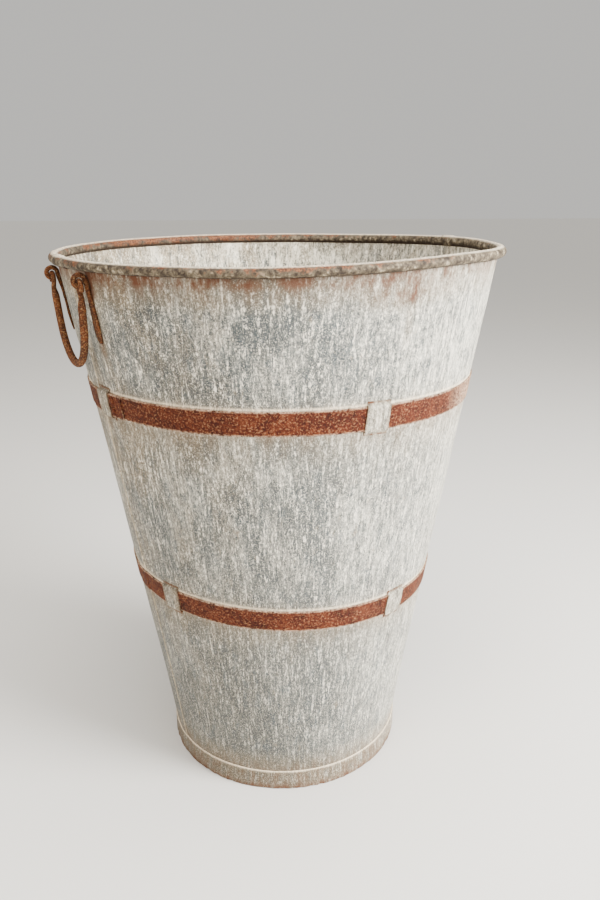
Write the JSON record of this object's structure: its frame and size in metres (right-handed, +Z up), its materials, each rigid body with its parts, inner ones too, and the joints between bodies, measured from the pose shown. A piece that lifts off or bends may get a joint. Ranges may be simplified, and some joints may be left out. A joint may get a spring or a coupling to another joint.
{
  "type": "florist bucket",
  "caption": "Tall tapered galvanised bucket for cut flowers, with a rolled wired rim, iron hoops in soldered keepers and swinging side bails.",
  "frame": {"origin": "centre of the foot band on the floor, on the bucket's axis", "axes": "+Z up the bucket's axis; -Y towards the front, where the left bail hangs at the left-hand edge"},
  "size_m": [0.5, 0.5, 0.628],
  "materials": {
    "galvanised_wall": "weathered hot-dip galvanised sheet, matt, with pale zinc streaks and tan staining",
    "galvanised_foot": "weathered galvanised strip, pitted and rust-spotted",
    "galvanised_keeper": "weathered galvanised clip, dull",
    "hoop_iron": "flat hoop iron, evenly rusted red-brown",
    "handle_iron": "forged round rod, rusted, worn tan where it is gripped",
    "rim_wire_iron": "plain iron wire, hidden inside the rolled rim"
  },
  "bodies": {
    "bucket": {"back_wall_sheet": "galvanised_wall", "base_disc": "galvanised_wall", "foot_band": "galvanised_foot", "front_wall_sheet": "galvanised_wall", "left_back_eye": "handle_iron", "left_eye_rivets": "handle_iron", "left_front_eye": "handle_iron", "lower_hoop": "hoop_iron", "lower_hoop_rivets": "hoop_iron", "lower_keeper_1": "galvanised_keeper", "lower_keeper_2": "galvanised_keeper", "lower_keeper_3": "galvanised_keeper", "lower_keeper_4": "galvanised_keeper", "right_back_eye": "handle_iron", "right_eye_rivets": "handle_iron", "right_front_eye": "handle_iron", "rim_wire": "rim_wire_iron", "upper_hoop": "hoop_iron", "upper_hoop_rivets": "hoop_iron", "upper_keeper_1": "galvanised_keeper", "upper_keeper_2": "galvanised_keeper", "upper_keeper_3": "galvanised_keeper", "upper_keeper_4": "galvanised_keeper"},
    "left_handle": {"left_bail": "handle_iron"},
    "right_handle": {"right_bail": "handle_iron"}
  },
  "joints": [
    {"name": "left_bail_swing", "type": "hinge", "parent": "bucket", "child": "left_handle", "pos_m": [-0.20876, -0.11811, 0.597], "axis": [-0.4924, 0.8704, 0], "range_deg": [-3.5, 155]},
    {"name": "right_bail_swing", "type": "hinge", "parent": "bucket", "child": "right_handle", "pos_m": [0.20876, 0.11811, 0.597], "axis": [0.4924, -0.8704, 0], "range_deg": [-3.5, 155]}
  ]
}
